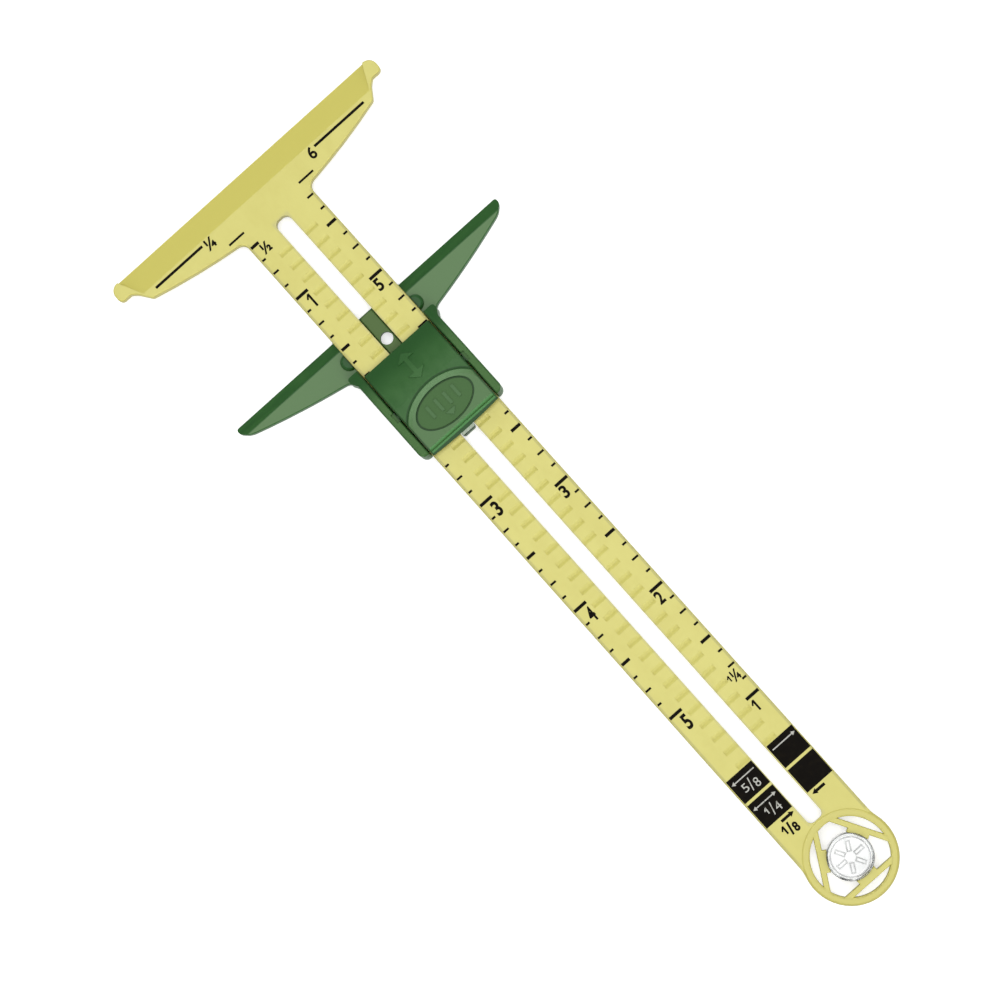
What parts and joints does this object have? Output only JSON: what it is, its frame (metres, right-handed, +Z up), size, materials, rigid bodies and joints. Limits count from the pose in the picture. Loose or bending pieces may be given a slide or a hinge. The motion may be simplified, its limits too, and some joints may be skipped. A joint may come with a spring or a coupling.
{
  "type": "sewing gauge",
  "caption": "Sliding sewing gauge with a T-shaped head, slotted inch scale, winged slider locked by a sprung rocker, and a clear turning anchor button.",
  "frame": {"origin": "under the middle of the whole length, on the plane that the slider and the anchor button rest on", "axes": "+X along the bar from the head to the round end, +Y across the bar, +Z up through the printed face"},
  "size_m": [0.1736, 0.0642, 0.006],
  "materials": {
    "bar_plastic": "pale yellow moulded plastic, satin",
    "slider_plastic": "see-through green moulded plastic, gloss",
    "button_plastic": "green moulded plastic, satin gloss",
    "spring_steel": "drawn spring wire",
    "clear_plastic": "clear moulded plastic, gloss"
  },
  "bodies": {
    "bar": {"gauge_bar": "bar_plastic"},
    "slider": {"slider_body": "slider_plastic", "return_spring": "spring_steel"},
    "rocker": {"push_button": "button_plastic"},
    "anchor": {"anchor_button": "clear_plastic"}
  },
  "joints": [
    {"name": "slider_slide", "type": "slide", "parent": "bar", "child": "slider", "axis": [1, 0, 0], "range_m": [-0.02223, 0.09208]},
    {"name": "push_rocker", "type": "hinge", "parent": "slider", "child": "rocker", "pos_m": [-0.033, 0, 0.00405], "axis": [0, 1, 0], "range_deg": [0, 4], "stiffness_Nm_per_rad": 0.02, "springref_deg": -5.73, "deforming": ["return_spring"]},
    {"name": "anchor_spin", "type": "hinge", "parent": "bar", "child": "anchor", "pos_m": [0.07827, 0, 0.0016], "axis": [0, 0, 1], "continuous": true}
  ]
}
